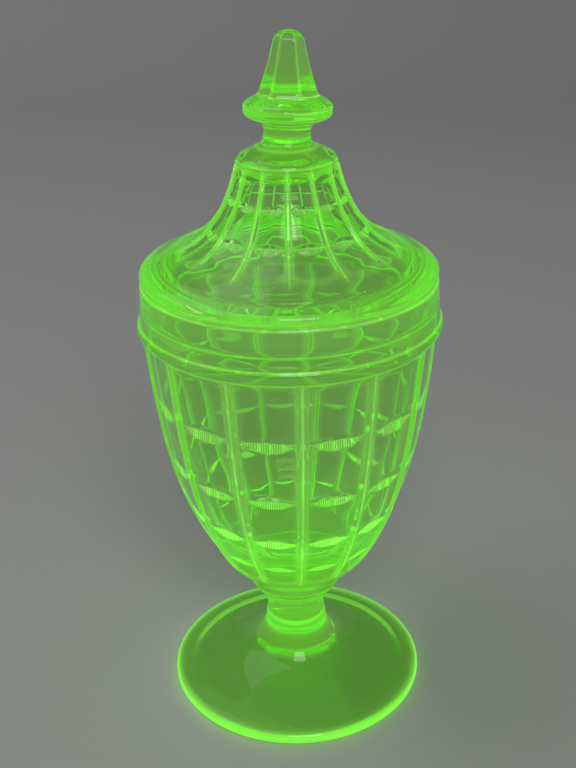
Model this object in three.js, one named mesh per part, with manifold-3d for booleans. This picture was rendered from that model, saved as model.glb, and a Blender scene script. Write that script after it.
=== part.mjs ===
// A footed glass jar with a loose lid, pressed in a pattern of upright ribs and shallow blocks.
// Millimetres, +Z up, origin at the centre of the foot's resting plane.
import * as THREE from "three";
import Module from "manifold-3d";

// Driving dimensions.
const RIBS = 13; // upright ribs round both pieces
const RIB_CROWN_HALF_DEG = 1.7; // half the angle of a rib's rounded crown
const RIB_FOOT_HALF_DEG = 2.8; // half the angle of a rib where it meets the panels
const RIB_HEIGHT = 0.9; // how far a rib stands proud of the panels
const NOTCH_DEPTH = 1.0; // depth of a lens-shaped notch at a panel's middle
const JAR_TURN_DEG = 3.7; // the jar's front rib stands this far to the right of -Y
const LID_TURN_DEG = 0;
const RIM_TOP = 149.1; // the jar's rim
const SEAT_GAP = 0.3; // between the rim and the lid's brim
const FINIAL_TURN_DEG = -35.6;
const FINIAL_TOP = 220.5;

// Points in one rib's share of the turn: the crown's two edges, the foot, the panel's middle, the foot.
const PITCH = 360 / RIBS;
const PATTERN = [
  { deg: -RIB_CROWN_HALF_DEG, crown: true },
  { deg: RIB_CROWN_HALF_DEG, crown: true },
  { deg: RIB_FOOT_HALF_DEG },
  { deg: PITCH / 2, middle: true },
  { deg: PITCH - RIB_FOOT_HALF_DEG },
];
const AROUND = RIBS * PATTERN.length;

// One ring of points. pattern 0 is a plain circle and 1 is fully ribbed; notch 1 is the notch's bottom.
function ringPoints([radius, z, pattern = 0, notch = 0], turnDeg) {
  return Array.from({ length: AROUND }, (_, k) => {
    const part = PATTERN[k % PATTERN.length];
    const ribbed = Math.floor(k / PATTERN.length) * PITCH + part.deg;
    const even = ((k - 0.5) * 360) / AROUND;
    const deg = turnDeg + THREE.MathUtils.lerp(even, ribbed, pattern > 0 ? 1 : 0);
    const groove = part.crown ? 0 : RIB_HEIGHT * pattern;
    const cut = part.middle ? NOTCH_DEPTH * notch : 0;
    const r = radius - groove - cut;
    const a = THREE.MathUtils.degToRad(deg);
    return [r * Math.sin(a), -r * Math.cos(a), z];
  });
}

// A closed skin over a chain of rings, with a single point on the axis at each end.
function closedSkin(startZ, rings, endZ, turnDeg = 0) {
  const grid = rings.map((ring) => ringPoints(ring, turnDeg));
  return skinOver(startZ, grid, endZ);
}

function skinOver(startZ, grid, endZ) {
  const n = grid[0].length;
  const points = [[0, 0, startZ], ...grid.flat(), [0, 0, endZ]];
  const last = points.length - 1;
  const at = (i, j) => 1 + i * n + (j % n);
  const faces = [];
  for (let j = 0; j < n; j++) {
    faces.push([0, at(0, j + 1), at(0, j)]);
    faces.push([last, at(grid.length - 1, j), at(grid.length - 1, j + 1)]);
    for (let i = 0; i + 1 < grid.length; i++) {
      faces.push([at(i, j), at(i, j + 1), at(i + 1, j)]);
      faces.push([at(i, j + 1), at(i + 1, j + 1), at(i + 1, j)]);
    }
  }
  return { points, faces };
}

// A notch is three rings: its lower lip, its bottom and its upper lip, so many mm below and above the bottom.
function notchRings(z, radius, slope, below, above) {
  return [
    [radius - slope * below, z - below, 1, 0],
    [radius, z, 1, 1],
    [radius + slope * above, z + above, 1, 0],
  ];
}

// The foot: a hollowed underside, a flat resting ring and a domed top that sweeps into the stem.
const foot = () => [
  [6, 8.5],
  [12, 7.4],
  [18, 5.5],
  [24, 3.8],
  [31, 2.2],
  [35.8, 1.0],
  [37.6, 0],
  [41.1, 0],
  [42.65, 0.8],
  [43.15, 2.1],
  [42.4, 3.6],
  [39.9, 4.6],
  [34.0, 5.6],
  [27.0, 7.0],
  [21.0, 8.9],
  [16.8, 11.3],
  [13.8, 14.2],
  [11.7, 17.8],
  [10.5, 21.2],
];

const stemAndKnuckle = () => [
  [9.9, 24.6],
  [9.9, 30],
  [10.0, 34.4],
  [13.3, 35.3],
  [14.4, 36.6],
  [15.6, 39.3],
  [17.7, 42.5],
  [21.2, 46.5],
];

// The bowl's outer side, up to the upper edge of its panels.
const bowlPanels = () => [
  [23.4, 48.9, 0.01],
  [25.2, 51.0, 1],
  [27.4, 54.5, 1],
  ...notchRings(58.9, 29.8, 0.49, 1.2, 1.5),
  [32.85, 65.5, 1],
  ...notchRings(72.5, 35.6, 0.36, 2.5, 2.4),
  [38.35, 81.0, 1],
  ...notchRings(90.0, 40.5, 0.22, 2.5, 3.0),
  [42.35, 100.5, 1],
  ...notchRings(111.5, 43.85, 0.125, 3.2, 2.1),
  [44.9, 121.5, 1],
  [45.5, 130.6, 1],
  [45.8, 131.6, 0.01],
];

const collar = () => [
  [46.7, 132.4],
  [47.4, 134.0],
  [47.0, 135.6],
  [46.5, 136.2],
  [46.1, 142.5],
  [45.6, 148.4],
  [45.0, RIM_TOP],
  [41.2, RIM_TOP],
  [40.6, 148.5],
];

// The inside: a mouth 0.7 mm wider than the wall below it, the tapering wall and a rounded floor.
const jarInside = () => [
  [40.6, 139.2],
  [39.9, 138.2],
  [39.7, 127.0],
  [38.6, 110.0],
  [36.1, 93.0],
  [33.2, 80.0],
  [29.4, 69.5],
  [24.5, 63.2],
  [19.8, 59.0],
  [15.0, 55.6],
  [10.0, 53.0],
  [5.5, 51.9],
];

function jar() {
  const rings = [...foot(), ...stemAndKnuckle(), ...bowlPanels(), ...collar(), ...jarInside()];
  return closedSkin(8.8, rings, 51.5, JAR_TURN_DEG);
}

// The lid's underside: a locating ring that drops into the mouth, and the hollow of the bell.
const lidInside = () => [
  [7.0, 180.9],
  [11.2, 179.8],
  [13.3, 177.2],
  [14.8, 173.4],
  [16.8, 169.0],
  [19.5, 164.6],
  [22.8, 160.6],
  [27.0, 157.2],
  [34.6, 152.9],
  [37.2, 150.6],
  [37.4, 146.4],
];

const brim = () => [
  [39.6, 146.4],
  [39.9, 147.0],
  [39.9, RIM_TOP + SEAT_GAP],
  [44.9, RIM_TOP + SEAT_GAP],
  [45.6, 150.1],
  [45.4, 151.2],
  [44.2, 152.4],
  [40.7, 154.5],
];

const bellPanels = () => [
  [35.4, 156.8, 0.01],
  [33.2, 157.9, 1],
  [29.6, 159.8, 1],
  ...notchRings(163.5, 24.9, -0.95, 1.4, 1.4),
  [21.6, 168.0, 1],
  ...notchRings(173.1, 18.85, -0.5, 1.3, 1.3),
  [17.4, 176.8, 1],
  [16.1, 180.8, 1],
  [15.6, 182.4, 1],
  [15.1, 183.6, 0.01],
];

const shoulderNeckAndDisc = () => [
  [14.4, 185.1],
  [12.7, 186.3],
  [10.9, 187.2],
  [9.3, 187.9],
  [8.2, 188.5],
  [7.3, 189.3],
  [6.9, 190.6],
  [7.0, 192.4],
  [8.0, 194.2],
  [11.6, 195.7],
  [12.7, 196.6],
  [13.0, 198.0],
  [12.8, 199.6],
  [11.6, 201.0],
  [9.4, 202.3],
];

// The finial's six-sided cone, with rounded corners and a rounded top.
function finialCone() {
  const levels = [
    [9.5, 201.6],
    [8.9, 202.6],
    [7.9, 205.0],
    [5.85, 212.0],
    [4.8, 216.3],
    [4.2, 218.2],
    [3.2, 219.6],
    [1.7, 220.3],
  ];
  const corners = 6;
  const grid = levels.map(([r, z]) =>
    Array.from({ length: corners * 3 }, (_, k) => {
      const side = Math.floor(k / 3);
      const step = [-9, 0, 9][k % 3];
      const a = THREE.MathUtils.degToRad(FINIAL_TURN_DEG + side * 60 + step);
      const reach = r * (step ? 0.975 : 1);
      return [reach * Math.sin(a), -reach * Math.cos(a), z];
    }),
  );
  return skinOver(201.6, grid, FINIAL_TOP);
}

function lid() {
  const rings = [
    ...lidInside(),
    ...brim(),
    ...bellPanels(),
    ...shoulderNeckAndDisc(),
  ];
  return closedSkin(181.2, rings, 202.8, LID_TURN_DEG);
}

const wasm = await Module();
wasm.setup();

// The solid inside a skin, whichever way round its faces were listed.
function solid({ points, faces }) {
  const build = (list) =>
    new wasm.Manifold(
      new wasm.Mesh({
        numProp: 3,
        vertProperties: new Float32Array(points.flat()),
        triVerts: new Uint32Array(list.flat()),
      }),
    );
  const made = build(faces);
  return made.volume() > 0 ? made : build(faces.map(([a, b, c]) => [a, c, b]));
}

function geometryOf(body) {
  const { numProp, numVert, vertProperties, triVerts } = body.getMesh();
  const positions = new Float32Array(numVert * 3);
  for (let i = 0; i < numVert; i++) {
    positions.set(vertProperties.subarray(i * numProp, i * numProp + 3), i * 3);
  }
  const geometry = new THREE.BufferGeometry();
  geometry.setAttribute("position", new THREE.BufferAttribute(positions, 3));
  geometry.setIndex(new THREE.BufferAttribute(triVerts, 1));
  geometry.computeVertexNormals();
  return geometry;
}

function glassMesh(name, body, colour) {
  const material = new THREE.MeshStandardMaterial({
    color: colour,
    roughness: 0.05,
    metalness: 0,
    flatShading: true,
  });
  const mesh = new THREE.Mesh(geometryOf(body), material);
  mesh.name = name;
  return mesh;
}

const coveredJar = new THREE.Group();
coveredJar.name = "covered_jar";
coveredJar.add(glassMesh("jar", solid(jar()), 0x54b82e));
coveredJar.add(glassMesh("lid", solid(lid()).add(solid(finialCone())), 0x66cc38));

export default coveredJar;
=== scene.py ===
import math

import bpy
import numpy as np
from bpy.props import FloatProperty, FloatVectorProperty, IntProperty, PointerProperty
from bpy.types import Operator, Panel, PropertyGroup
from mathutils import Matrix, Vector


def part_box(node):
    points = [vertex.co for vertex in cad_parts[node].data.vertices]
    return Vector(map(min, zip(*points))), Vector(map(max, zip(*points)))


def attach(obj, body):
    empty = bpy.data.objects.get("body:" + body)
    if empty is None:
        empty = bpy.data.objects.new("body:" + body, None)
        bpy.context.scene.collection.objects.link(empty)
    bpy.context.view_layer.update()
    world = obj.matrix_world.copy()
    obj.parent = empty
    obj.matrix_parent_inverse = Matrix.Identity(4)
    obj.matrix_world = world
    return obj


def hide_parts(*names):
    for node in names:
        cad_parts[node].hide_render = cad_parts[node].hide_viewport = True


bl_info = {
    "name": "Covered Glass Jar",
    "version": (1, 0, 0),
    "blender": (4, 5, 0),
    "location": "View3D > Sidebar > Glass Jar",
    "description": "Builds the fine glass of a footed covered jar round its packed frame",
    "category": "Object",
}

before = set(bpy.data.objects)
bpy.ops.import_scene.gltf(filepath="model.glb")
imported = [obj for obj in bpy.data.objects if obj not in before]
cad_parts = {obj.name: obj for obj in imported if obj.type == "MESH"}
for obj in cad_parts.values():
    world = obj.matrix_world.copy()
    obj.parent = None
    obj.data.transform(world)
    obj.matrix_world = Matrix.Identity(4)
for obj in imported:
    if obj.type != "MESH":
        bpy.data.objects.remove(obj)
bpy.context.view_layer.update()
JAR_LOW, JAR_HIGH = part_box("jar")
LID_LOW, LID_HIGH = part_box("lid")

# Lengths in the shapes are in millimetres, and heights are from the plane that the foot stands on.
MM = 0.001
BASE_Z = JAR_LOW.z / MM
JAR_HEIGHT = (JAR_HIGH.z - JAR_LOW.z) / MM
LID_SEAT = JAR_HEIGHT + 0.3
LID_TOP = LID_HIGH.z / MM

FOOT_HOLLOW = 8.8
BOWL_FLOOR = 51.5
BELL_CEILING = 181.2
CONE_DOME = 3.4


def linear(hex_colour):
    """An sRGB hex colour as linear red, green and blue."""
    parts = [int(hex_colour[i : i + 2], 16) / 255 for i in (0, 2, 4)]
    return [c / 12.92 if c <= 0.04045 else ((c + 0.055) / 1.055) ** 2.4 for c in parts]


# Shapes


def curve_through(points, count):
    """A smooth open curve through control points. Each span is a cubic whose end slopes follow its
    neighbours, and the samples are spread by the square root of the spans' lengths, so that short spans
    keep their share."""
    p = np.asarray(points, float)
    length = np.linalg.norm(np.diff(p, axis=0), axis=1)
    knots = np.concatenate([[0], np.cumsum(length)])
    slopes = np.zeros_like(p)
    chord = np.diff(p, axis=0) / length[:, None]
    weight = length[1:] / (length[:-1] + length[1:])
    slopes[1:-1] = chord[:-1] * weight[:, None] + chord[1:] * (1 - weight)[:, None]
    slopes[0], slopes[-1] = chord[0], chord[-1]
    spread = np.concatenate([[0], np.cumsum(length**0.5)])
    at = np.interp(np.linspace(0, spread[-1], count), spread, knots)
    i = np.clip(np.searchsorted(knots, at, side="right") - 1, 0, len(length) - 1)
    h = length[i][:, None]
    t = ((at - knots[i]) / length[i])[:, None]
    return (
        p[i] * (2 * t**3 - 3 * t**2 + 1)
        + p[i + 1] * (3 * t**2 - 2 * t**3)
        + slopes[i] * h * (t**3 - 2 * t**2 + t)
        + slopes[i + 1] * h * (t**3 - t**2)
    )


def smooth(low, high, x):
    """0 below low, 1 above high, and an even S between them."""
    t = np.clip((x - low) / (high - low), 0, 1)
    return t * t * (3 - 2 * t)


def line(x, at, width):
    """A soft line: 1 at that place, fading as a bell curve of that width."""
    return np.exp(-(((x - at) / width) ** 2))


def lines(x, places, width):
    """Sum of soft lines. places are (position, strength)."""
    return sum(strength * line(x, at, width) for at, strength in places)


def rib_columns(ribs, half_deg, turn_deg):
    """Angles of the grid's columns in degrees: close together over each rib and its flanks, wider on the
    panels."""
    pitch = 360 / ribs
    edge = half_deg * 1.15
    crown = np.linspace(-edge, edge, 15)
    panel = np.linspace(edge, pitch - edge, 10)[1:-1]
    one = np.concatenate([crown, panel])
    return (np.arange(ribs)[:, None] * pitch + one[None, :]).ravel() + turn_deg


def rib_phase(angles, ribs, turn_deg):
    """Signed distance in degrees from the nearest rib's centre line."""
    pitch = 360 / ribs
    return (angles - turn_deg + pitch / 2) % pitch - pitch / 2


def across_panel(phase, s):
    """0 on a rib and at a panel's edge, rising evenly to 1 at the panel's middle."""
    return np.clip(np.abs(phase) - s.rib_half_deg, 0, None) / (180 / s.ribs - s.rib_half_deg)


def skin(name, grid, start, end, floats):
    """A closed skin over a grid of rings with one point at each end, in metres. grid is rings by columns
    by xyz in mm. floats are per-point values given as name to (rings by columns values, start value, end
    value)."""
    rings, columns, _ = grid.shape
    points = np.concatenate([[start], grid.reshape(-1, 3), [end]]) * MM
    i, j = np.meshgrid(np.arange(rings - 1), np.arange(columns), indexing="ij")
    k = (j + 1) % columns
    here, above = i * columns, (i + 1) * columns
    corners = [here + j, here + k, above + k, above + j]
    quads = 1 + np.stack(corners, -1).reshape(-1, 4)
    a = np.arange(columns)
    b = (a + 1) % columns
    low = np.stack([np.zeros_like(a), 1 + b, 1 + a], -1)
    base = 1 + (rings - 1) * columns
    high = np.stack([np.full_like(a, len(points) - 1), base + a, base + b], -1)
    mesh = bpy.data.meshes.new(name)
    mesh.from_pydata(points.tolist(), [], low.tolist() + quads.tolist() + high.tolist())
    mesh.shade_smooth()
    for label, (values, first, last) in floats.items():
        layer = mesh.attributes.new(label, "FLOAT", "POINT")
        flat = np.concatenate([[first], values.ravel(), [last]]).astype(np.float32)
        layer.data.foreach_set("value", flat)
    mesh.update()
    piece = bpy.data.objects.new(name, mesh)
    bpy.context.scene.collection.objects.link(piece)
    return piece


def turn(radius, angles_deg, z):
    """Points of rings: radius and angle per ring and column, height per ring and column."""
    a = np.radians(angles_deg)
    return np.stack([radius * np.sin(a), -radius * np.cos(a), z + 0 * radius], -1)


def blocks(phase, z, s, ends, notches):
    """How far the glass lies below the rib crowns: the ribs' rounded flanks, the flattened panels and the
    lens-shaped notches. A notch is a V whose depth falls off with the square of the distance from the
    panel's middle. Gives the depth, and painted light on each notch's lower side, which faces up towards
    the light, at that notch's painted brightness. ends are the panels' low and high ends and how far those
    arch. notches are (height, reach below, reach above, painted brightness of the lower side)."""
    across = across_panel(phase, s)
    low, high, arch = ends
    drop = arch * (1 - across) ** 2
    above_low = smooth(low - 0.4 + drop, low + 1.1 + drop, z)
    below_high = 1 - smooth(high - 0.7 - drop * 0.4, high, z)
    inside = above_low * below_high
    flank = smooth(s.rib_half_deg * 0.35, s.rib_half_deg, np.abs(phase))
    depth = flank * inside * (s.rib_height / MM) * (1 + 0.35 * across)
    lens = np.zeros_like(depth)
    notch_side_painted_light = np.zeros_like(depth)
    deepest = s.notch_depth / MM
    for level, below, above, light in notches:
        fall = (1 - (1 - across) ** 2) * deepest
        reach = np.where(z < level, below, above)
        cut = np.clip(fall - np.abs(z - level) * deepest / reach, 0, None)
        lens = np.maximum(lens, cut)
        # Painted light on the notch's lower side, which faces up towards the light.
        side = light * smooth(0.0, 0.08, cut) * (1 - smooth(level - 0.05, level + 0.3, z))
        notch_side_painted_light = np.maximum(notch_side_painted_light, side)
    return depth + lens * inside, notch_side_painted_light * inside


def relief_light(phase, radius, z, s, ends):
    """Painted glow on the ribs and the panels' rims: a fine bright line along each rib's crown, a faint band
    over its width, a fine line at each foot of its flanks, and a fine line round each panel's two ends.
    Widths are in mm."""
    away = np.radians(np.abs(phase)) * radius
    foot = np.radians(s.rib_half_deg) * radius
    low, high, arch = ends
    within = smooth(low - 1, low + 1, z) * (1 - smooth(high - 1, high + 0.5, z))
    along = s.crown_glow_line * line(away, 0, 0.33) + s.foot_glow_line * line(away, foot, 0.34)
    band = s.rib_glow_band * (1 - smooth(0.75, 1.0, away / foot))
    across = across_panel(phase, s)
    drop = arch * (1 - across) ** 2
    rims = line(z, low + 0.4 + drop, 0.5) + line(z, high - 0.8 - 0.4 * drop, 0.5)
    return (along + band) * within + s.foot_glow_line * rims * (across > 0)


def levels_with_notches(low, high, step, notches):
    """Ring heights from low to high, with rings on each notch's bottom and lips and close together
    between them."""
    parts = [np.arange(low, high, step), [high]]
    for level, below, above, _ in notches:
        parts.append(level - below * np.linspace(0, 1.05, 11))
        parts.append(level + above * np.linspace(0.08, 1.05, 7))
    z = np.unique(np.round(np.concatenate(parts), 3))
    keep = np.concatenate([[True], np.diff(z) > 0.12])
    return z[keep]


def profile_rings(points, z):
    """Rings at the given heights on a smooth curve through (radius, height) points."""
    curve = curve_through(points, 400)
    return np.stack([np.interp(z, curve[:, 1], curve[:, 0]), z], -1)


# The jar. Outlines are (radius, height), from the foot's underside up the outside and down the inside.
# Notches are the height of the V's bottom line, how far it reaches below and above that, and how bright
# the painted light on its lower side is.
JAR_NOTCHES = (
    (58.9, 1.2, 1.5, 1.0),
    (72.5, 2.5, 2.4, 1.2),
    (90.0, 2.5, 3.0, 0.7),
    (111.5, 3.2, 2.1, 0.55),
)
JAR_PANEL = (50.0, 131.5, 2.2)
FOOT_UNDER = [
    (0, FOOT_HOLLOW), (6, 8.5), (12, 7.4), (18, 5.5), (24, 3.8), (31, 2.2), (35.5, 1.1), (37.4, 0.3),
    (38.2, 0.0),
]
FOOT_RING = [(38.9, 0.0), (40.5, 0.0)]
FOOT_RIM = [
    (41.1, 0.0), (42.2, 0.35), (42.95, 1.1), (43.15, 2.1), (42.9, 3.1), (41.9, 4.0), (40.2, 4.55),
]
FOOT_TOP = [
    (39.6, 4.7), (34, 5.6), (27, 7.0), (21, 8.9), (16.8, 11.3), (13.8, 14.2), (11.7, 17.8), (10.6, 21.0),
    (10.1, 24.2),
]
STEM = [(9.75, 24.7), (9.8, 27), (9.85, 30), (9.95, 33.2), (10.4, 34.2)]
KNUCKLE_UNDER = [(11.2, 34.6), (12.6, 34.9), (13.3, 35.3), (13.6, 35.7)]
KNUCKLE_SIDE = [(14.0, 36.4), (14.6, 37.2), (15.6, 39.3), (17.7, 42.5), (20.9, 46.2)]
BOWL_SIDE = [
    (21.2, 46.5), (24.7, 50.5), (28.5, 56.5), (32.4, 64.5), (35.6, 72.5), (38.2, 80.5), (41.0, 92.5),
    (42.95, 104.5), (44.4, 116.5), (45.2, 125.0), (45.9, 131.8),
]
BEAD = [(46.2, 131.9), (46.9, 132.6), (47.35, 133.7), (47.35, 134.6), (46.95, 135.7), (46.6, 136.1)]
COLLAR = [(46.4, 136.5), (46.3, 138.0), (46.0, 142.5), (45.7, 147.3)]
LIP_OUTSIDE = [(45.6, 147.8), (45.35, 148.2), (45.1, 148.8), (44.4, JAR_HEIGHT)]
LIP_TOP = [(43.2, JAR_HEIGHT), (42.0, JAR_HEIGHT)]
LIP_INSIDE = [(41.4, JAR_HEIGHT), (40.8, 148.9), (40.6, 148.3)]
BOWL_INSIDE = [
    (0.0, BOWL_FLOOR), (5.5, 51.9), (10.0, 53.0), (15.0, 55.6), (19.8, 59.0), (24.5, 63.2), (29.4, 69.5),
    (33.2, 80.0), (36.1, 93.0), (38.6, 110.0), (39.7, 127.0), (39.9, 137.6), (40.05, 138.2), (40.5, 138.8),
    (40.6, 139.6), (40.6, 148.3),
]
# Painted glow up the jar by height: most where the glass is thick, with bright lines at its edges and at the
# mouth's step.
JAR_THICK_Z = [0, 7, 12, 20, 30, 44, 54, 66, 80, 131, 133, 137, 147, 149.1]
JAR_THICK_GLOW = [0.02, 0.02, 0.05, 0.2, 0.2, 0.2, 0.2, 0.1, 0.02, 0.02, 0.1, 0.05, 0.1, 0.3]
JAR_EDGE_GLOW = [(24.5, 0.4), (35.2, 0.5), (131.8, 0.35), (136.0, 0.6), (148.0, 0.6)]
MOUTH_STEP_GLOW = [(138.4, 0.3)]
MOUTH_GLOW_RADIUS = 40.7
SEAM_HEIGHT = 0.16
SEAM_HALF_DEG = 0.9


def jar_mesh(s):
    """The jar: one closed skin from the middle of the foot's underside, over the foot, stem, knuckle,
    ribbed bowl and collar, over the rim and down the inside to the middle of the bowl's floor. The foot's
    columns are spread evenly, with one on the mould seam, and move over to the ribs' columns on the way
    up the stem and knuckle."""
    columns = rib_columns(s.ribs, s.rib_half_deg, s.jar_turn_deg)
    count = len(columns)
    gap = 360 / count
    even = np.arange(count) * gap
    even = even + (s.seam_deg - even[0]) % gap
    even = even - 360 * (even[0] - columns[0] > 180)
    even = even + round((columns[0] - even[0]) / gap) * gap
    levels = levels_with_notches(46.6, 131.6, 1.0, JAR_NOTCHES)
    # Each stretch of rings, and how far its columns have moved over to the ribs' ones.
    stretches = [
        (curve_through(FOOT_UNDER, 26)[1:], 0.0),
        (np.array(FOOT_RING), 0.0),
        (curve_through(FOOT_RIM, 16), 0.0),
        (curve_through(FOOT_TOP, 34), 0.0),
        (curve_through(STEM, 12), 0.3),
        (curve_through(KNUCKLE_UNDER, 8), 0.6),
        (curve_through(KNUCKLE_SIDE, 14), 1.0),
        (profile_rings(BOWL_SIDE, levels), 1.0),
        (curve_through(BEAD, 12), 1.0),
        (curve_through(COLLAR, 8), 1.0),
        (curve_through(LIP_OUTSIDE, 7), 1.0),
        (np.array(LIP_TOP), 1.0),
        (curve_through(LIP_INSIDE, 5), 1.0),
        (curve_through(BOWL_INSIDE, 44)[-2:0:-1], 1.0),
    ]
    ends = np.cumsum([len(rings) for rings, _ in stretches])
    under_end, top_start, lip_end = ends[1], ends[2], ends[12]
    outer = slice(ends[6], ends[7])
    rings = np.concatenate([rings for rings, _ in stretches])
    order = np.arange(len(rings))
    moved = np.concatenate([np.full(len(rings), share) for rings, share in stretches])[:, None]
    angles = even[None, :] * (1 - moved) + columns[None, :] * moved
    radius = np.repeat(rings[:, :1], count, 1)
    phase = rib_phase(angles, s.ribs, s.jar_turn_deg)
    level = np.repeat(rings[outer, 1:], count, 1)
    # notch here is the painted light on the notches' lower sides; it is stored in the notch attribute.
    cut, notch = blocks(phase[outer], level, s, JAR_PANEL, JAR_NOTCHES)
    shine = np.zeros_like(radius)
    shine[outer] = relief_light(phase[outer], radius[outer], level, s, JAR_PANEL)
    painted_notch_light = np.zeros_like(radius)
    painted_notch_light[outer] = notch
    radius[outer] -= cut
    # Mould seams: two fine raised lines that run down the foot, half a turn apart.
    from_seam = angles - s.seam_deg
    off = np.minimum(np.abs((from_seam + 180) % 360 - 180), np.abs(from_seam % 360 - 180))
    foot_top = (order >= top_start) & (rings[:, 0] > 9.9) & (rings[:, 0] < 30) & (rings[:, 1] < 24.4)
    seam = SEAM_HEIGHT * np.clip(1 - off / SEAM_HALF_DEG, 0, 1) * foot_top[:, None]
    z = np.repeat(rings[:, 1:], count, 1) + seam
    hollow = (order >= lip_end - 1) & (rings[:, 0] < MOUTH_GLOW_RADIUS)
    glow = jar_glow(rings, order < under_end, hollow)
    floats = {"glow": (glow[:, None] + shine, glow[0], glow[-1]), "notch": (painted_notch_light, 0.0, 0.0)}
    grid = turn(radius, angles, z + BASE_Z)
    return skin("jar_glass", grid, (0, 0, FOOT_HOLLOW + BASE_Z), (0, 0, BOWL_FLOOR + BASE_Z), floats)


def jar_glow(rings, under, inside):
    """How strongly each ring is painted with glow: most in the solid stem and knuckle and along the rims,
    least in the thin walls. under and inside pick out the foot's underside and the bowl's inside, which
    only glow at the mouth's step. The mouth's widest rings glow like the collar outside them."""
    r, z = rings[:, 0], rings[:, 1]
    outside = np.interp(z, JAR_THICK_Z, JAR_THICK_GLOW) + lines(z, JAR_EDGE_GLOW, 0.35)
    hidden = 0.01 + lines(z, MOUTH_STEP_GLOW, 0.4) * inside
    # A bright line of painted glow round the foot's rim.
    foot_rim_glow = 0.9 * line(r, 43.2, 1.4) * (z < 6)
    return np.where(under | inside, hidden, outside) + foot_rim_glow


# The lid. Outlines are (radius, height), from the bell's hollow round the brim and up to the disc.
# Lid notches, listed like the jar's, with the painted brightness of each lower side last.
LID_NOTCHES = ((163.6, 1.4, 1.4, 0.5), (173.2, 1.3, 1.3, 0.5))
LID_PANEL = (157.0, 183.7, 0.9)
LID_INSIDE = [
    (0.0, BELL_CEILING), (7.0, 180.9), (11.2, 179.6), (13.3, 177.0), (14.8, 173.4), (16.8, 169.0),
    (19.5, 164.6), (22.8, 160.8), (27.0, 157.3), (34.6, 152.9), (37.0, 150.6), (37.4, 148.4), (37.5, 146.9),
]
LOCATING_RING = [(37.8, 146.5), (38.7, 146.4), (39.5, 146.6), (39.85, 147.3), (39.9, 148.6)]
SEAT = [(40.1, LID_SEAT), (42.2, LID_SEAT), (44.2, LID_SEAT)]
BRIM = [
    (44.9, LID_SEAT + 0.05), (45.5, 150.0), (45.6, 150.7), (45.2, 151.6), (44.2, 152.5), (42.6, 153.5),
]
BELL_SIDE = [
    (40.7, 154.5), (36.2, 156.5), (32.0, 158.5), (28.4, 160.5), (25.9, 162.5), (22.6, 166.5), (20.1, 170.5),
    (18.2, 174.5), (16.7, 178.5), (15.6, 182.4), (15.1, 183.9),
]
SHOULDER = [(14.9, 184.3), (14.3, 185.2), (12.6, 186.3), (10.9, 187.1), (9.5, 187.6)]
NECK_STEPS = [(9.2, 187.9), (8.5, 188.2), (7.85, 188.7), (7.45, 189.2)]
NECK = [(7.1, 190.0), (6.9, 191.2), (7.0, 193.0), (7.9, 194.6), (9.6, 195.6), (11.7, 196.3), (12.6, 196.9)]
DISC = [
    (12.95, 197.5), (13.0, 198.6), (12.95, 199.6), (12.4, 200.4), (11.2, 201.2), (9.9, 201.9), (9.3, 202.2),
]
# Painted glow up the lid by height, with bright lines at its edges.
LID_THICK_Z = [146, 149, 152.4, 154.6, 164, 180, 184, 188, 196, 202]
LID_THICK_GLOW = [0.15, 0.2, 0.15, 0.05, 0.02, 0.03, 0.1, 0.1, 0.15, 0.1]
LID_EDGE_GLOW = [(149.9, 0.4), (184.3, 0.5), (188.0, 0.4), (197.2, 0.3), (199.6, 0.4)]
CONE_FOOT = 202.5
CONE_WIDTH_Z = [202.4, 203.6, 205.4, LID_TOP - 8.5, LID_TOP]
CONE_WIDTH = [9.3, 8.6, 7.95, 5.9, 3.9]
CORNER_SHARPNESS = 26.0
LEAN_CENTRE = 194.0


def lid_mesh(s):
    """The lid: one closed skin from the top of the bell's hollow, down its inside, round the locating
    ring and the brim, up the ribbed bell, over the shoulder, neck and disc, and up the six-sided cone to
    its tip."""
    columns = rib_columns(s.ribs, s.rib_half_deg, s.lid_turn_deg)
    count = len(columns)
    levels = levels_with_notches(154.2, 183.8, 0.5, LID_NOTCHES)
    stretches = [
        curve_through(LID_INSIDE, 60)[1:],
        curve_through(LOCATING_RING, 9),
        np.array(SEAT),
        curve_through(BRIM, 16),
        profile_rings(BELL_SIDE, levels),
        curve_through(SHOULDER, 14),
        curve_through(NECK_STEPS, 10),
        curve_through(NECK, 20),
        curve_through(DISC, 20),
    ]
    ends = np.cumsum([len(rings) for rings in stretches])
    rings = np.concatenate(stretches)
    outer = slice(ends[3], ends[4])
    radius = np.repeat(rings[:, :1], count, 1)
    z = np.repeat(rings[:, 1:], count, 1)
    phase = rib_phase(np.repeat(columns[None, :], len(levels), 0), s.ribs, s.lid_turn_deg)
    # notch here is the painted light on the notches' lower sides; it is stored in the notch attribute.
    cut, notch = blocks(phase, z[outer], s, LID_PANEL, LID_NOTCHES)
    shine = np.zeros_like(radius)
    shine[outer] = relief_light(phase, radius[outer], z[outer], s, LID_PANEL)
    painted_notch_light = np.zeros_like(radius)
    painted_notch_light[outer] = notch
    radius[outer] -= cut
    glow = lid_glow(rings, np.arange(len(rings)) < ends[0])[:, None] + shine
    cone_radius, cone_z, cone_glow = cone(columns, s)
    radius = np.concatenate([radius, cone_radius])
    z = np.concatenate([z, cone_z])
    glow = np.concatenate([glow, cone_glow])
    painted_notch_light = np.concatenate([painted_notch_light, 0 * cone_glow])
    angles = np.repeat(columns[None, :], len(radius), 0)
    floats = {"glow": (glow, 0.1, 0.1), "notch": (painted_notch_light, 0.0, 0.0)}
    grid = lean(turn(radius, angles, z), s)
    return skin("lid_glass", grid, (0, 0, BELL_CEILING), lean((0, 0, LID_TOP), s), floats)


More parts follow.
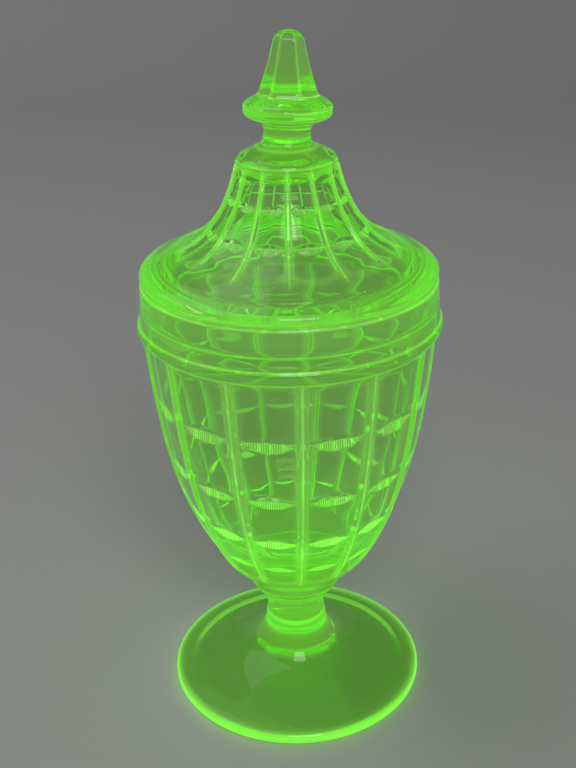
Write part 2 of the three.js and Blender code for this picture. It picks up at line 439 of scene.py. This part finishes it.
def lid_glow(rings, inside):
    """How strongly each ring of the lid is painted with glow: most at the brim's thick band, the shoulder,
    the neck and the disc. inside picks out the bell's hollow."""
    z = rings[:, 1]
    outside = np.interp(z, LID_THICK_Z, LID_THICK_GLOW) + lines(z, LID_EDGE_GLOW, 0.35)
    return np.where(inside, 0.01, outside)


def cone(angles, s):
    """The finial's six-sided cone as radius and height per ring and column, and its painted glow. Its
    section is a hexagon whose corners are rounded by a smooth maximum over the six sides. It narrows
    upwards and closes in a small dome."""
    dome = LID_TOP - CONE_DOME
    height = np.concatenate([
        np.linspace(CONE_FOOT, 203.6, 5),
        np.linspace(204.1, dome, 24),
        dome + CONE_DOME * np.sin(np.linspace(0.12, 1.5, 14)),
    ])
    up_dome = np.clip((height - dome) / CONE_DOME, 0, 1)
    wide = np.interp(height, CONE_WIDTH_Z, CONE_WIDTH) * np.sqrt(np.clip(1 - up_dome**2.4, 0.0001, 1))
    sides = np.radians(angles[:, None] - s.cone_turn_deg - 30 - 60 * np.arange(6)[None, :])
    support = np.clip(np.cos(sides) / math.cos(math.radians(30)), 0, None)
    section = np.sum(support**CORNER_SHARPNESS, 1) ** (-1 / CORNER_SHARPNESS)
    # Painted glow: bright lines on the corners and round the foot, and a brighter low part.
    corner = smooth(0.95, 0.973, section)[None, :]
    foot_glow_line = line(height, CONE_FOOT, 0.35)[:, None]
    low_part = 1 - smooth(202.6, 207.5, height)[:, None]
    glow = 0.06 + 0.36 * corner + 0.12 * low_part + 0.4 * foot_glow_line
    return wide[:, None] * section[None, :], np.repeat(height[:, None], len(angles), 1), glow


def lean(points, s):
    """The neck, disc and cone lean a little to one side, as pressed finials do: points above the neck
    turn by a small angle about a level line through the neck's middle, and slide over by a small step
    that eases in below it."""
    x, y, z = np.moveaxis(np.asarray(points, float), -1, 0)
    ease = smooth(185.0, 195.0, z)
    angle = s.lean * ease
    up = z - LEAN_CENTRE
    return np.stack([x + ease * s.slide / MM + up * np.sin(angle), y, z - x * np.sin(angle)], -1)


# Finish


def add(tree, kind, settings=None, links=None, values=None):
    """Adds a node of that kind. settings are its properties, links its sockets' sources and values what
    its other sockets hold."""
    node = tree.nodes.new(kind)
    for key, value in (settings or {}).items():
        setattr(node, key, value)
    for key, value in (values or {}).items():
        node.inputs[key].default_value = value
    for key, source in (links or {}).items():
        tree.links.new(source, node.inputs[key])
    return node


def pressed_uranium_glass(name, s):
    """Soda-lime glass coloured with a little uranium, pressed in an iron mould and fire polished: clear
    yellow-green, IOR 1.52, almost mirror smooth with a slow ripple, and with a painted green glow of its
    own, most where it is thick."""
    material = bpy.data.materials.new(name)
    material.use_nodes = True
    tree = material.node_tree
    tree.nodes.clear()
    place = add(tree, "ShaderNodeTexCoord").outputs["Object"]
    glow = add(tree, "ShaderNodeAttribute", {"attribute_name": "glow"}).outputs["Fac"]
    # Upright tool marks in the notches, drawn as stripes in their painted light: a sine of the angle round
    # the axis. The real marks are about 0.5 mm apart and are drawn at 0.75 mm, because finer ones blur away.
    notch = add(tree, "ShaderNodeAttribute", {"attribute_name": "notch"}).outputs["Fac"]
    axes = add(tree, "ShaderNodeSeparateXYZ", None, {"Vector": place}).outputs
    math_node = "ShaderNodeMath"
    around = add(tree, math_node, {"operation": "ARCTAN2"}, {0: axes["X"], 1: axes["Y"]})
    marks = add(tree, math_node, {"operation": "MULTIPLY"}, {0: around.outputs[0]}, {1: s.tool_mark_glints})
    wave = add(tree, math_node, {"operation": "SINE"}, {0: marks.outputs[0]})
    painted_mark_stripes = add(tree, math_node, {"operation": "MULTIPLY_ADD"}, {0: wave.outputs[0]}, {1: 0.8, 2: 0.8})
    # The notches' painted light, in stripes, is added to the painted glow.
    cut = add(tree, math_node, {"operation": "MULTIPLY"}, {0: notch, 1: painted_mark_stripes.outputs[0]})
    edges = add(tree, math_node, {"operation": "ADD"}, {0: glow, 1: cut.outputs[0]})
    # Seeds, the tiny bubbles of old pressed glass, up to 0.5 mm across, drawn as painted glints in the glow:
    # the middles of a few of the cells of a 7 mm cell pattern, picked by each cell's own random colour.
    cells = add(tree, "ShaderNodeTexVoronoi", None, {"Vector": place}, {"Scale": 140.0}).outputs
    middle = add(tree, math_node, {"operation": "LESS_THAN"}, {0: cells["Distance"]}, {1: 0.036})
    few = add(tree, math_node, {"operation": "GREATER_THAN"}, {0: cells["Color"]}, {1: 0.72})
    seed_glints = add(tree, math_node, {"operation": "MULTIPLY"}, {0: middle.outputs[0], 1: few.outputs[0]})
    total = add(tree, math_node, {"operation": "ADD"}, {0: edges.outputs[0], 1: seed_glints.outputs[0]})
    strength = add(tree, math_node, {"operation": "MULTIPLY"}, {0: total.outputs[0]}, {1: s.glow})
    # A slow ripple about 9 mm across, left by the plunger and the fire polish.
    ripple = add(
        tree,
        "ShaderNodeTexNoise",
        links={"Vector": place},
        values={"Scale": 110.0, "Detail": 1.0, "Roughness": 0.4},
    )
    bump = add(
        tree,
        "ShaderNodeBump",
        links={"Height": ripple.outputs["Fac"]},
        values={"Strength": 0.12, "Distance": 0.0004},
    )
    # The emission carries all the painted glow, lines and glints above.
    glass = add(
        tree,
        "ShaderNodeBsdfPrincipled",
        links={"Emission Strength": strength.outputs[0], "Normal": bump.outputs["Normal"]},
        values={
            "Base Color": (*linear("E7FFDC"), 1),
            "Roughness": 0.02,
            "IOR": 1.52,
            "Transmission Weight": 1.0,
            "Emission Color": (*s.glow_colour, 1),
        },
    )
    depth = add(
        tree,
        "ShaderNodeVolumeAbsorption",
        values={"Color": (*s.depth_colour, 1), "Density": s.depth_per_m},
    )
    # A painted glow given off inside the glass, through its depth.
    inner = add(
        tree,
        "ShaderNodeEmission",
        values={"Color": (*s.inner_colour, 1), "Strength": s.inner_light},
    )
    body = add(tree, "ShaderNodeAddShader", links={0: depth.outputs[0], 1: inner.outputs[0]})
    add(
        tree,
        "ShaderNodeOutputMaterial",
        links={"Surface": glass.outputs["BSDF"], "Volume": body.outputs["Shader"]},
    )
    return material


class GlassSettings(PropertyGroup):
    """Sizes and colours of the glass, and the strength and colour of its painted glow."""

    ribs: IntProperty(name="Ribs", description="Upright ribs round both pieces", default=13, min=6, max=36)
    rib_half_deg: FloatProperty(
        name="Rib half width", description="Half a rib's angle at its foot, in degrees", default=2.7
    )
    rib_height: FloatProperty(
        name="Rib height", description="How far a rib stands above the panels", default=0.0009, unit="LENGTH"
    )
    notch_depth: FloatProperty(
        name="Notch depth", description="Depth of a notch at a panel's middle", default=0.001, unit="LENGTH"
    )
    jar_turn_deg: FloatProperty(
        name="Jar turn", description="Turn of the jar's front rib, in degrees", default=3.7
    )
    lid_turn_deg: FloatProperty(
        name="Lid turn", description="Turn of the lid's front rib, in degrees", default=0.0
    )
    cone_turn_deg: FloatProperty(
        name="Cone turn", description="Turn of the cone's corner, in degrees", default=-35.6
    )
    lean: FloatProperty(name="Lean", description="How far the finial leans", default=0.035, subtype="ANGLE")
    slide: FloatProperty(
        name="Slide",
        description="How far the finial stands off the lid's middle",
        default=0.0005, unit="LENGTH",
    )
    # Number of stripes in the notches' painted light, one for each upright tool mark.
    tool_mark_glints: IntProperty(
        name="Tool marks", description="Upright marks in the notches, round the whole jar", default=364
    )
    seam_deg: FloatProperty(
        name="Seam", description="Where the first mould seam runs, in degrees", default=-113.0
    )
    # Strength of the painted glow.
    glow: FloatProperty(name="Glow", description="Strength of the glass's own light", default=0.5)
    # Brightness of the painted glow lines and band on the ribs and the panels' rims.
    crown_glow_line: FloatProperty(
        name="Crown line", description="Brightness of the line along a rib's crown", default=0.6
    )
    foot_glow_line: FloatProperty(
        name="Flank line", description="Brightness of the lines at a rib's foot", default=0.2
    )
    rib_glow_band: FloatProperty(name="Rib band", description="Brightness over a rib's whole width", default=0.18)
    # Colour of the painted glow.
    glow_colour: FloatVectorProperty(
        name="Glow colour",
        description="Colour of the glass's own light",
        subtype="COLOR", default=linear("94F858"),
    )
    depth_colour: FloatVectorProperty(
        name="Depth colour",
        description="Colour that thick glass takes",
        subtype="COLOR", default=(0.77, 0.915, 0.6),
    )
    depth_per_m: FloatProperty(
        name="Depth density", description="How fast thick glass takes that colour", default=250.0
    )
    # Strength and colour of the painted glow given off through the glass's depth.
    inner_light: FloatProperty(
        name="Inner light", description="Light given off inside the glass, per metre of depth", default=11.5
    )
    inner_colour: FloatVectorProperty(
        name="Inner colour",
        description="Colour of the light from inside",
        subtype="COLOR", default=(0.5, 1.0, 0.16),
    )


class StageSettings(PropertyGroup):
    """The floor, light and camera."""

    floor_colour: FloatVectorProperty(
        name="Floor", description="Colour of the floor", subtype="COLOR", default=linear("D8D8D6")
    )
    camera_aside: FloatProperty(
        name="Camera aside", description="To the right of the jar's axis", default=-0.00105, unit="LENGTH"
    )
    camera_back: FloatProperty(
        name="Camera back", description="From the jar's axis to the camera", default=0.3267, unit="LENGTH"
    )
    camera_up: FloatProperty(
        name="Camera height", description="Above the floor", default=0.2656, unit="LENGTH"
    )
    camera_tilt: FloatProperty(
        name="Camera tilt", description="How far the camera looks down", default=0.4421, subtype="ANGLE"
    )
    camera_roll: FloatProperty(
        name="Camera roll", description="Turn about the view", default=-0.0225, subtype="ANGLE"
    )


class GLASSJAR_OT_jar(Operator):
    """Build the jar's glass"""

    bl_idname = "glassjar.jar"
    bl_label = "Jar"

    def execute(self, context):
        s = context.scene.glass_settings
        piece = jar_mesh(s)
        piece.data.materials.append(pressed_uranium_glass("uranium_glass_jar", s))
        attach(piece, "jar_body")
        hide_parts("jar")
        return {"FINISHED"}


class GLASSJAR_OT_lid(Operator):
    """Build the lid's glass and its six-sided finial as one piece"""

    bl_idname = "glassjar.lid"
    bl_label = "Lid"

    def execute(self, context):
        s = context.scene.glass_settings
        piece = lid_mesh(s)
        piece.data.materials.append(pressed_uranium_glass("uranium_glass_lid", s))
        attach(piece, "lid_body")
        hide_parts("lid")
        return {"FINISHED"}


# Stage, in metres and watts. Lights are (name, place, size, power).
FLOOR_HALF = 1.5
SWEEP_START = 1.0
SWEEP_SIZE = 0.5
FLOOR_DROP = 0.0002
LIGHTS = (
    ("soft_left", (-0.9, 0.1, 1.4), 1.6, 5.0),
    ("soft_front", (0.12, -1.0, 1.0), 0.6, 3.5),
)
LIGHT_AIM_Z = 0.1


def floor_mesh():
    """A flat square floor, 3 m on a side, whose far part rises in a smooth quarter sweep."""
    turned = np.linspace(0, math.pi / 2, 24)[1:]
    y = np.concatenate([np.linspace(-FLOOR_HALF, SWEEP_START, 40), SWEEP_START + SWEEP_SIZE * np.sin(turned)])
    z = np.concatenate([np.zeros(40), SWEEP_SIZE - SWEEP_SIZE * np.cos(turned)])
    x = np.linspace(-FLOOR_HALF, FLOOR_HALF, 2)
    points = np.stack([np.tile(x, len(y)), np.repeat(y, 2), np.repeat(z, 2) - FLOOR_DROP], -1)
    i = np.arange(len(y) - 1) * 2
    faces = np.stack([i, i + 1, i + 3, i + 2], -1)
    mesh = bpy.data.meshes.new("floor")
    mesh.from_pydata(points.tolist(), [], faces.tolist())
    mesh.shade_smooth()
    floor = bpy.data.objects.new("floor", mesh)
    bpy.context.scene.collection.objects.link(floor)
    return floor


def add_light(name, place, size, power):
    """A square soft light at that place, turned towards the jar's lower middle."""
    light = bpy.data.lights.new(name, "AREA")
    light.size = size
    light.energy = power
    lamp = bpy.data.objects.new(name, light)
    lamp.location = place
    aim = -np.array(place) + (0, 0, LIGHT_AIM_Z)
    down = math.acos(-aim[2] / np.linalg.norm(aim))
    lamp.rotation_euler = (down, 0, math.atan2(aim[1], aim[0]) - math.pi / 2)
    bpy.context.scene.collection.objects.link(lamp)


class GLASSJAR_OT_stage(Operator):
    """Build the floor, the light and the camera"""

    bl_idname = "glassjar.stage"
    bl_label = "Stage"

    def execute(self, context):
        scene = context.scene
        s = scene.stage_settings
        floor = floor_mesh()
        paper = bpy.data.materials.new("matt_paper")
        paper.use_nodes = True
        shader = paper.node_tree.nodes["Principled BSDF"]
        shader.inputs["Base Color"].default_value = (*s.floor_colour, 1)
        shader.inputs["Roughness"].default_value = 0.9
        floor.data.materials.append(paper)
        world = bpy.data.worlds.new("soft_room")
        world.use_nodes = True
        back = world.node_tree.nodes["Background"]
        back.inputs["Color"].default_value = (*linear("E6E8EA"), 1)
        back.inputs["Strength"].default_value = 0.12
        scene.world = world
        for light in LIGHTS:
            add_light(*light)
        camera = bpy.data.cameras.new("camera")
        camera.lens = 52.89
        camera.sensor_width = 36
        eye = bpy.data.objects.new("camera", camera)
        eye.matrix_world = (
            Matrix.Translation((s.camera_aside, -s.camera_back, s.camera_up))
            @ Matrix.Rotation(math.pi / 2 - s.camera_tilt, 4, "X")
            @ Matrix.Rotation(s.camera_roll, 4, "Z")
        )
        scene.collection.objects.link(eye)
        scene.camera = eye
        scene.view_settings.view_transform = "Standard"
        scene.cycles.max_bounces = 24
        scene.cycles.transmission_bounces = 24
        scene.cycles.glossy_bounces = 12
        return {"FINISHED"}


class GLASSJAR_PT_panel(Panel):
    """The jar's pieces"""

    bl_label = "Glass Jar"
    bl_idname = "GLASSJAR_PT_panel"
    bl_space_type = "VIEW_3D"
    bl_region_type = "UI"
    bl_category = "Glass Jar"

    def draw(self, context):
        for name in ("glass_settings", "stage_settings"):
            box = self.layout.box()
            group = getattr(context.scene, name)
            for key in group.bl_rna.properties.keys():
                if key not in ("rna_type", "name"):
                    box.prop(group, key)
        for operator in (GLASSJAR_OT_jar, GLASSJAR_OT_lid, GLASSJAR_OT_stage):
            self.layout.operator(operator.bl_idname)


CLASSES = (
    GlassSettings,
    StageSettings,
    GLASSJAR_OT_jar,
    GLASSJAR_OT_lid,
    GLASSJAR_OT_stage,
    GLASSJAR_PT_panel,
)


def register():
    for cls in CLASSES:
        bpy.utils.register_class(cls)
    bpy.types.Scene.glass_settings = PointerProperty(type=GlassSettings)
    bpy.types.Scene.stage_settings = PointerProperty(type=StageSettings)


def unregister():
    del bpy.types.Scene.stage_settings
    del bpy.types.Scene.glass_settings
    for cls in reversed(CLASSES):
        bpy.utils.unregister_class(cls)


def main():
    """Build everything."""
    register()
    bpy.ops.glassjar.jar()
    bpy.ops.glassjar.lid()
    bpy.ops.glassjar.stage()


if __name__ == "__main__":
    main()
